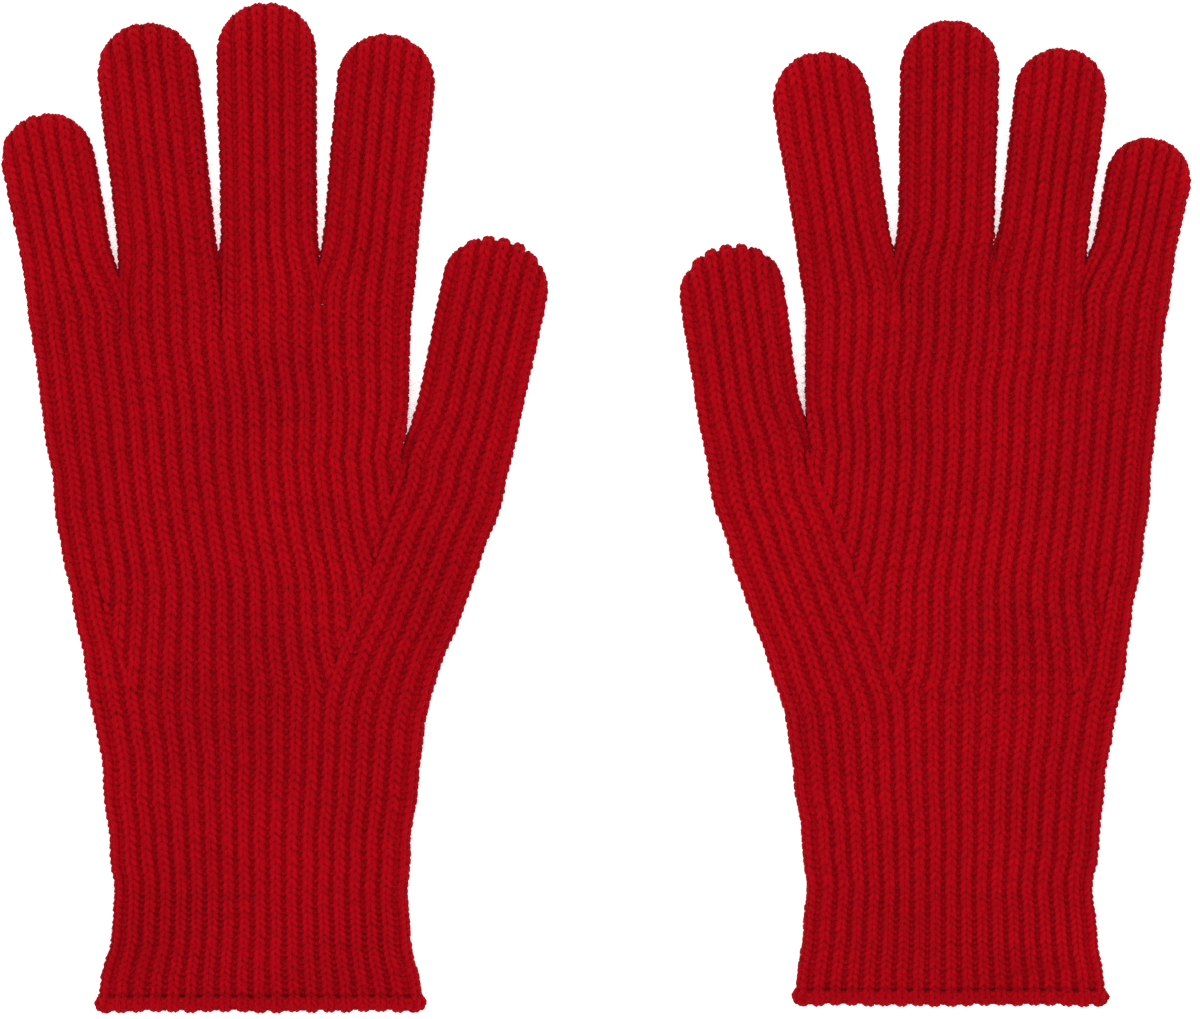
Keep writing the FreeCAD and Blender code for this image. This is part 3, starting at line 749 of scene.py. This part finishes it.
def knit(yarn, surface, ribs, courses, closed, limit=None, thickness=YARN_RADIUS, gather=1.0, facing=1.0):
    """Lays one yarn per course. surface takes arrays of ribs and courses and gives points. A surface that
    ends inside a course also gives which points are on it, and limit can leave points out as well."""
    ribs = np.asarray(ribs, dtype=float)
    courses = np.asarray(courses, dtype=float)
    rows, columns, steps = len(courses), len(ribs), len(TEMPLATE)
    share = np.arange(steps) / steps

    def wander(size):
        noise = RNG.normal(0.0, size, (rows, columns))
        following = np.roll(noise, -1, axis=1)
        mixed = noise[:, :, None] * (1.0 - share) + following[:, :, None] * share
        return mixed.reshape(rows, -1)

    u = (ribs[:, None] + TEMPLATE[None, :, 0]).reshape(-1)[None, :] + wander(WANDER_ACROSS)
    v = courses[:, None] + np.tile(TEMPLATE[:, 1], columns)[None, :] + wander(WANDER_ALONG)
    lift = np.tile(TEMPLATE[:, 2], columns)[None, :] * gather * (1.0 + wander(WANDER_RELIEF))
    lift = lift + wander(WANDER_LIFT)
    radius = np.tile(TEMPLATE[:, 3], columns)[None, :] * thickness * (1.0 + wander(WANDER_YARN))

    def at(a, b):
        result = surface(a, b)
        return result if isinstance(result, tuple) else (result, np.ones(a.shape, dtype=bool))

    points, inside = at(u, v)
    across = at(u + NORMAL_STEP, v)[0] - at(u - NORMAL_STEP, v)[0]
    along = at(u, v + NORMAL_STEP)[0] - at(u, v - NORMAL_STEP)[0]
    normals = np.cross(across, along)
    normals /= np.linalg.norm(normals, axis=-1, keepdims=True) + 1e-15
    normals *= facing
    centres = points + normals * lift[..., None]
    if limit is not None:
        inside &= limit(u, v, points)
    # how far out of the fabric each point lies; the material paints shade on the low ones
    height = np.tile(TEMPLATE[:, 2], columns) / MM
    for row in range(rows):
        keep = inside[row]
        if keep.sum() >= SHORTEST_YARN:
            yarn.tube(centres[row][keep], normals[row][keep], radius[row][keep], closed, height[keep])


# ---- Materials ------------------------------

WOOL_FACE = (0.285, 0.0009, 0.0042, 1.0)
# the face colour darkened, as painted shade for the channels between the ribs
WOOL_SHADED = (0.275, 0.0009, 0.0034, 1.0)
FIBRE_COLOUR = (0.50, 0.035, 0.045, 1.0)
CHANNEL_SHADE = (0.1, 1.0)  # heights between which the wool goes from its painted shade colour to its face colour
LOOSE = (1.6, 1.9)  # heights that only the loose fibres reach
MOTTLE = (  # uneven dye: scale and detail of the noise, and the least and the most of the colour
    (28.0, 2.0, 0.92, 1.07),
    (420.0, 2.0, 0.93, 1.07),
    (2600.0, 3.0, 0.92, 1.08),
)
NOISE_ENDS = (0.3, 0.7)
SHEEN = 0.25
SHEEN_ROUGHNESS = 0.45
SHEEN_TINT = (1.0, 0.03, 0.06, 1.0)
SPECULAR = 0.03
PLY_LENGTH = 2.6  # millimetres of yarn in one turn of its plies
PLIES = 3.0
PLY_WAVES = {"Scale": math.pi / 5.0, "Distortion": 1.2, "Detail": 2.0}
PLY_TINT = (0.90, 1.05)
PLY_RELIEF = {"Strength": 0.8, "Distance": 0.22 * MM}
HAIR_STRETCH = (1.1, 26.0, 1.0)
HAIR_NOISE = {"Scale": 1.0, "Detail": 3.0}
HAIR_TINT = (0.88, 1.12)
HAIR_RELIEF = {"Strength": 0.45, "Distance": 0.16 * MM}


def wool(name, roughness):
    """Dyed wool, uneven over the fabric, with painted shade that darkens it in the channels, and the yarn's
    plies as fine relief.
    """
    material = bpy.data.materials.new(name)
    material.use_nodes = True
    nodes = material.node_tree.nodes

    def join(socket, value):
        """An input is linked to another node's output, or else set to a value."""
        if hasattr(value, "is_output"):
            material.node_tree.links.new(value, socket)
        else:
            socket.default_value = value

    def add(kind, values, **settings):
        node = nodes.new("ShaderNode" + kind)
        for key, value in settings.items():
            setattr(node, key, value)
        for key, value in values.items():
            join(node.inputs[key], value)
        return node.outputs

    def stretch(source, ends, low=0.0, high=1.0):
        values = {"Value": source, "From Min": ends[0], "From Max": ends[1], "To Min": low, "To Max": high}
        return add("MapRange", values)["Result"]

    def mix(kind, amount, first, second):
        outputs = add("Mix", {}, data_type="RGBA", blend_type=kind)
        sockets = [item for item in outputs[0].node.inputs if item.enabled]
        for socket, value in zip(sockets, (amount, first, second)):
            join(socket, value)
        return [item for item in outputs if item.enabled][0]

    height = add("Attribute", {}, attribute_name="Height")["Fac"]
    # painted shade: yarn that lies low in the fabric takes the darker shaded colour
    colour = mix("MIX", stretch(height, CHANNEL_SHADE), WOOL_SHADED, WOOL_FACE)
    colour = mix("MIX", stretch(height, LOOSE), colour, FIBRE_COLOUR)
    place = add("TexCoord", {})["Object"]
    for scale, detail, low, high in MOTTLE:
        noise = add("TexNoise", {"Vector": place, "Scale": scale, "Detail": detail})["Fac"]
        colour = mix("MULTIPLY", 1.0, colour, stretch(noise, NOISE_ENDS, low, high))
    twist = add("UVMap", {}, uv_map="Twist")["UV"]
    lay = add("Mapping", {"Vector": twist, "Scale": (1.0 / PLY_LENGTH, PLIES, 1.0)})["Vector"]
    bands = {"wave_type": "BANDS", "bands_direction": "DIAGONAL"}
    plies = add("TexWave", {"Vector": lay, **PLY_WAVES}, **bands)["Fac"]
    streaks = add("Mapping", {"Vector": twist, "Scale": HAIR_STRETCH})["Vector"]
    hairs = add("TexNoise", {"Vector": streaks, **HAIR_NOISE})["Fac"]
    colour = mix("MULTIPLY", 1.0, colour, stretch(plies, NOISE_ENDS, *PLY_TINT))
    colour = mix("MULTIPLY", 1.0, colour, stretch(hairs, NOISE_ENDS, *HAIR_TINT))
    relief = add("Bump", {"Height": plies, **PLY_RELIEF})["Normal"]
    relief = add("Bump", {"Height": hairs, "Normal": relief, **HAIR_RELIEF})["Normal"]
    looks = {
        "Base Color": colour,
        "Normal": relief,
        "Roughness": roughness,
        "Specular IOR Level": SPECULAR,
        "Sheen Weight": SHEEN,
        "Sheen Roughness": SHEEN_ROUGHNESS,
        "Sheen Tint": SHEEN_TINT,
    }
    for key, value in looks.items():
        join(nodes["Principled BSDF"].inputs[key], value)
    return material


WOOLS = {
    "rib_knit": wool("rib_knit", 0.9),
    "cuff_knit": wool("cuff_knit", 0.92),
    "joining_yarn": wool("joining_yarn", 0.95),
}

# ---- The pieces ------------------------------

WEB_STITCHES = 3
WEB_STEP = 1.8 * MM
WEB_HALF = 2.6 * MM
WEB_SAG = 1.0 * MM
WEB_SWAY = 0.4 * MM
WEB_APART = 0.4 * MM  # of a stitch's middle, from the middle between the faces
WEB_RADIUS = 0.55 * MM
WEB_POINTS = 15
WEB_HEIGHT = -0.5  # counts as below the fabric, so it takes the painted shade colour
KNOT_YARN = 0.55 * MM
KNOT_POINTS = 48
# its colour lies partway between the painted shade colour and the face colour
KNOT_HEIGHT = 0.5
KNOT_LEAST = 0.3 * MM
KNOT_LIFT = 0.1 * MM  # keeps a normal where the yarn passes the knot's middle
RIB_LAP = 0.02  # ribs that a piece's last stitch may reach past its edge
SEAM_TUCK = 1.2 * MM  # the palm reaches this far under the gusset
SEAM_OVER = 0.9 * MM  # and the gusset this far over the palm
ROLL_RADIUS = 1.45 * MM
ROLL_STEP = math.radians(56.0)
ROLL_COURSES = 6
ROLL_FIRST = 1.5  # the first of them, from the middle of the roll's outer side
ROLL_RISE = 0.4 * MM
ROLL_GATHER = 0.45  # how much of the relief is left there
ROLL_TURNS = (22, 9, 4)  # waves of the welt in one turn round the cuff
ROLL_WAVER = 0.1 * MM
WELT_CREASE = 0.25 * MM  # between the band's last stitches and the rolled edge
WELT_SINK = 0.22  # how far the band dips towards its middle just above the rolled edge
WELT_FADE = 3.0 * MM
BAND_YARN = 0.74 * MM
WELT_YARN = 0.68 * MM
ROLL_OUT = 0.5 * MM
TIP_SPAN = math.radians(68.0)
TIP_STEPS = 48
TIP_INSET = 0.25 * MM
TIP_WEAVE = 0.5 * MM
TIP_WAVES = 15.0
TIP_UNEVEN = 0.12  # of the yarn's thickness there
TIP_UNEVEN_WAVES = 1.7  # for each of the others
# its colour lies partway between the painted shade colour and the face colour
TIP_HEIGHT = 0.6
DIGIT_BEND = 25 * MM
WRIST_BEND = 30 * MM


def finish_piece(yarn, name, glove, node, slot, body=None, bend=None):
    yarn.fuzz(FUZZ_SHARE)
    piece = yarn.build(name, glove, WOOLS[slot])
    if bend is None:
        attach(piece, body)
    else:
        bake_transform(piece)
    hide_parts(node)


def make_palm(glove, hand_body):
    """The palm and the back of the hand, each in three pieces, which keeps the number of triangles down."""
    split = glove.hand_courses * 2 // 3
    parts = (("heel", 0, HEEL_COURSES), ("lower", HEEL_COURSES, split), ("upper", split, glove.hand_courses))
    ribs = np.arange(HAND_RIBS + 1) + 0.5
    for back in (False, True):
        face = "back" if back else "palm"
        facing = -1.0 if back else 1.0
        for part, first, last in parts:
            yarn = Yarn()

            def surface(g, c):
                return glove.palm(g, c, back=back)

            def limit(g, c, points):
                y = points[..., 1]
                strip = glove.strip_ribs(y) + glove.merged(y) if part == "heel" else -1.0
                short = (y >= glove.thumb_crotch[1]) | (points[..., 0] < glove.seam_x(y) + SEAM_TUCK)
                return (g >= strip) & (g >= -RIB_LAP) & (g <= HAND_RIBS + RIB_LAP) & short

            knit(yarn, surface, ribs, np.arange(first, last) + 0.5, False, limit, facing=facing)
            name = "%s_%s_%s" % (glove.side, face, part)
            finish_piece(yarn, name, glove, glove.side + "_hand", "rib_knit", hand_body)


def make_gussets(glove, hand_body):
    """The thumb's gusset, and the strip beside the heel that the palm's outer ribs end against."""
    yarn = Yarn()
    for back in (False, True):

        def surface(r, c):
            return glove.gusset(r, c, back=back)

        def limit(r, c, points):
            return (r >= -RIB_LAP) & (points[..., 0] > glove.seam_x(points[..., 1]) - SEAM_OVER)

        facing = 1.0 if back else -1.0  # the gusset's ribs are counted inwards
        rows = np.arange(glove.gusset_courses) + 0.5
        knit(yarn, surface, np.arange(GUSSET_RIBS + 1) + 0.5, rows, False, limit, facing=facing)
    name = glove.side + "_thumb_gusset_knit"
    finish_piece(yarn, name, glove, glove.side + "_thumb_gusset", "rib_knit", hand_body)

    yarn = Yarn()
    courses = np.arange(HEEL_COURSES) + 0.5
    for back in (False, True):

        def surface(h, c):
            return glove.palm(h, c, back=back, strip=True)

        def limit(h, c, points):
            return (h >= -RIB_LAP) & (h <= glove.strip_ribs(points[..., 1]))

        facing = -1.0 if back else 1.0
        knit(yarn, surface, np.arange(STRIP_RIBS + 1) + 0.5, courses, False, limit, facing=facing)
    name = glove.side + "_side_gusset_knit"
    finish_piece(yarn, name, glove, glove.side + "_side_gusset", "rib_knit", hand_body)


def make_cuff(glove, hand_body, cuff_body):
    """The wrist, the band below it and the rolled edge."""
    ribs = np.arange(CUFF_RIBS // 2 + 1) + 0.5
    wrist_courses = round(-glove.band_top / COURSE)
    wrist_course = -glove.band_top / wrist_courses
    depth = glove.band_top - glove.welt_top - WELT_CREASE
    band_courses = round(depth / CUFF_COURSE)
    band_course = depth / band_courses
    bend_end = glove.to_row(np.array([0.0, -WRIST_BEND, glove.middle]))
    bend_start = glove.to_row(np.array([0.0, 0.0, glove.middle]))
    for back in (False, True):
        face = "back" if back else "palm"

        def limit(h, c, points):
            return (h >= -RIB_LAP) & (h <= CUFF_RIBS / 2 + RIB_LAP)

        def wrist_surface(h, c):
            return glove.tube(h, c * wrist_course, back=back)

        def band_surface(h, c):
            y = glove.band_top + c * band_course
            point = glove.tube(h, y, back=back)
            near = smooth(1.0 - (y - glove.welt_top) / WELT_FADE)
            point[..., 2] += (glove.middle - point[..., 2]) * WELT_SINK * near
            return point

        yarn = Yarn()
        facing = -1.0 if back else 1.0
        knit(yarn, wrist_surface, ribs, -np.arange(wrist_courses) - 0.5, False, limit, facing=facing)
        name = "%s_wrist_%s" % (glove.side, face)
        bend = (hand_body, cuff_body, bend_start, bend_end)
        finish_piece(yarn, name, glove, glove.side + "_wrist_tube", "rib_knit", bend=bend)
        yarn = Yarn()
        courses = -np.arange(band_courses) - 0.5
        knit(yarn, band_surface, ribs, courses, False, limit, thickness=BAND_YARN, facing=facing)
        name = "%s_cuff_%s" % (glove.side, face)
        finish_piece(yarn, name, glove, glove.side + "_cuff_band", "cuff_knit", cuff_body)

    def around(h):
        """A point on the cuff's foot, with the ribs counted right round."""
        place = h % CUFF_RIBS
        back = place > CUFF_RIBS / 2
        level = np.full_like(h, glove.foot + ROLL_RADIUS + ROLL_RISE)
        return glove.tube(np.where(back, CUFF_RIBS - place, place), level, back=back)

    def roll(h, c):
        """The last courses roll outwards into a thin welt."""
        step = around(h + RIB_LAP) - around(h - RIB_LAP)
        out = np.stack([-step[..., 2], np.zeros_like(h), step[..., 0]], axis=-1)
        out /= np.linalg.norm(out, axis=-1, keepdims=True) + 1e-12
        angle = c * ROLL_STEP
        point = around(h) + out * (ROLL_RADIUS * np.cos(angle) + ROLL_OUT)[..., None]
        point[..., 1] += ROLL_RADIUS * np.sin(angle)
        for turns in ROLL_TURNS:
            point[..., 1] += ROLL_WAVER * np.sin(h * 2.0 * math.pi * turns / CUFF_RIBS + turns)
        return point

    yarn = Yarn()
    ribs = np.arange(CUFF_RIBS) + 0.5
    courses = ROLL_FIRST - np.arange(ROLL_COURSES)
    knit(yarn, roll, ribs, courses, True, thickness=WELT_YARN, gather=ROLL_GATHER)
    name = glove.side + "_cuff_welt_knit"
    finish_piece(yarn, name, glove, glove.side + "_cuff_welt", "cuff_knit", cuff_body)


def close_tip(glove, yarn, digit):
    """The yarn that draws the last loops together: it runs round the tip between the two faces."""
    angle = np.linspace(-TIP_SPAN, TIP_SPAN, TIP_STEPS)
    radius = digit["half"] + digit["swell"] - TIP_INSET
    y = digit["length"] + TIP_PROUD - digit["half"] - digit["swell"] + radius * np.cos(angle)
    x = radius * np.sin(angle) - digit["lean"] * y
    centres = digit["base"] + x[:, None] * digit["across"] + y[:, None] * digit["along"]
    centres[:, 2] = glove.middle + TIP_WEAVE * np.sin(angle * TIP_WAVES)
    outward = np.sin(angle)[:, None] * digit["across"] + np.cos(angle)[:, None] * digit["along"]
    radii = YARN_RADIUS * (1.0 + TIP_UNEVEN * np.sin(angle * TIP_WAVES * TIP_UNEVEN_WAVES))
    yarn.tube(centres, outward, radii, False, np.full(TIP_STEPS, TIP_HEIGHT))


def make_digits(glove, hand_body):
    for word in FINGERS + ("thumb",):
        digit = glove.digits[word]

        def surface(f, c):
            return glove.digit(f, c, word)

        yarn = Yarn()
        reach = digit["length"] + TIP_PROUD + glove.tuck
        count = round(reach / COURSE)
        digit["course"] = reach / count
        ribs = np.arange(digit["ribs"]) - digit["ribs"] // 2 + (0.0 if word == "thumb" else 0.5)
        knit(yarn, surface, ribs, np.arange(count) + 0.5, True)
        close_tip(glove, yarn, digit)
        body = "%s_%s_body" % (glove.side, word)
        raised = digit["base"] + np.array([0.0, 0.0, glove.middle])
        start = glove.to_row(raised)
        end = glove.to_row(raised + digit["along"] * DIGIT_BEND)
        node = "%s_%s" % (glove.side, digit["node"])
        name = node + "_knit"
        finish_piece(yarn, name, glove, node, "rib_knit", bend=(hand_body, body, start, end))
        make_knot(glove, digit["node"], body)


def make_knot(glove, node, body):
    """The yarn's end, knotted at the tip."""
    name = "%s_%s_tip_knot" % (glove.side, node)
    low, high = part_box(name)
    centre = glove.from_row((np.array(low) + np.array(high)) / 2.0)
    half = (np.array(high) - np.array(low)) / 2.0 - KNOT_YARN
    t = np.linspace(0.0, 2.0 * math.pi, KNOT_POINTS, endpoint=False)
    x = (np.sin(t) + 2.0 * np.sin(2.0 * t)) / 3.0
    y = (np.cos(t) - 2.0 * np.cos(2.0 * t)) / 3.0
    z = -np.sin(3.0 * t)
    centres = centre + np.stack([x, y, z], axis=1) * np.maximum(half, KNOT_LEAST)
    outward = centres - centre + np.array([0.0, 0.0, KNOT_LIFT])
    outward /= np.linalg.norm(outward, axis=1, keepdims=True)
    yarn = Yarn()
    yarn.tube(centres, outward, np.full(len(t), KNOT_YARN), True, np.full(len(t), KNOT_HEIGHT))
    finish_piece(yarn, name + "_yarn", glove, name, "joining_yarn", body)


def make_web_stitches(glove, hand_body):
    """Short stitches that close the crotches between the digits."""
    yarn = Yarn()
    t = np.linspace(-1.0, 1.0, WEB_POINTS)
    for crotch in glove.crotches + [glove.thumb_crotch]:
        for number in range(WEB_STITCHES):
            for side in (-1.0, 1.0):
                x = crotch[0] + t * WEB_HALF
                y = crotch[1] - WEB_STEP * (number - 0.5) + WEB_SWAY * np.sin(t * math.pi)
                z = glove.middle + side * (WEB_APART + WEB_SAG * t * t)
                centres = np.stack([x, y, z], axis=1)
                normals = np.tile(np.array([0.0, 0.0, side]), (len(t), 1))
                radii = np.full(len(t), WEB_RADIUS)
                yarn.tube(centres, normals, radii, False, np.full(len(t), WEB_HEIGHT))
    name = glove.side + "_web_stitches_yarn"
    finish_piece(yarn, name, glove, glove.side + "_web_stitches", "joining_yarn", hand_body)


for glove_side in ("right", "left"):
    this_glove = Glove(glove_side)
    palm_body = glove_side + "_hand_body"
    make_palm(this_glove, palm_body)
    make_gussets(this_glove, palm_body)
    make_cuff(this_glove, palm_body, glove_side + "_cuff_body")
    make_digits(this_glove, palm_body)
    make_web_stitches(this_glove, palm_body)

# ---- Floor, light and camera ------------------------------

FLOOR_SIZE = 6.0
FLOOR_DROP = 1.3 * MM  # from the CAD solids' lowest point, which leaves room for the yarn's thickness
FLOOR_GLOW = 0.6  # keeps the paper white in the gaps between the fingers
VIEW_WIDTH = 348 * MM
CAMERA_AT = (1.2 * MM, -1.4 * MM)
CAMERA_HEIGHT = 1.5
SENSOR = 36.0
CAMERA_CLIP = (0.01, 20.0)
LIGHT_AT = (0.0, 0.25, 1.6)
LIGHT_TILT = math.radians(-8.9)
LIGHT_SIZE = 2.4
LIGHT_POWER = 30.0
WORLD_LIGHT = 0.95
FLOOR_LOOKS = {
    "Roughness": 0.95,
    "Specular IOR Level": 0.1,
    "Emission Color": (1.0, 1.0, 1.0, 1.0),
    "Emission Strength": FLOOR_GLOW,
}
FLOOR_GRAIN = 40.0
FLOOR_GREYS = (0.93, 0.97)


def make_stage():
    floor_height = cad_bounds[0][2] - FLOOR_DROP
    bpy.ops.mesh.primitive_plane_add(size=FLOOR_SIZE, location=(0.0, 0.0, floor_height))
    floor = bpy.context.object
    floor.name = "floor"
    material = bpy.data.materials.new("pale_floor")
    material.use_nodes = True
    nodes = material.node_tree.nodes
    shader = nodes["Principled BSDF"]
    for key, value in FLOOR_LOOKS.items():
        shader.inputs[key].default_value = value
    grain = nodes.new("ShaderNodeTexNoise")
    grain.inputs["Scale"].default_value = FLOOR_GRAIN
    ramp = nodes.new("ShaderNodeValToRGB")
    for element, grey in zip(ramp.color_ramp.elements, FLOOR_GREYS):
        element.color = (grey, grey, grey, 1.0)
    material.node_tree.links.new(grain.outputs["Fac"], ramp.inputs["Fac"])
    material.node_tree.links.new(ramp.outputs["Color"], shader.inputs["Base Color"])
    floor.data.materials.append(material)

    world = bpy.data.worlds.new("studio")
    world.use_nodes = True
    background = world.node_tree.nodes["Background"]
    background.inputs["Color"].default_value = (1.0, 1.0, 1.0, 1.0)
    background.inputs["Strength"].default_value = WORLD_LIGHT
    bpy.context.scene.world = world

    lamp = bpy.data.lights.new("overhead", "AREA")
    lamp.energy = LIGHT_POWER
    lamp.size = LIGHT_SIZE
    put("overhead", lamp, LIGHT_AT).rotation_euler = (LIGHT_TILT, 0.0, 0.0)

    camera = bpy.data.cameras.new("camera")
    camera.sensor_width = SENSOR
    camera.lens = SENSOR * CAMERA_HEIGHT / VIEW_WIDTH
    camera.clip_start, camera.clip_end = CAMERA_CLIP
    bpy.context.scene.camera = put("camera", camera, CAMERA_AT + (CAMERA_HEIGHT + this_glove.middle,))
    bpy.context.scene.view_settings.view_transform = "Standard"


make_stage()
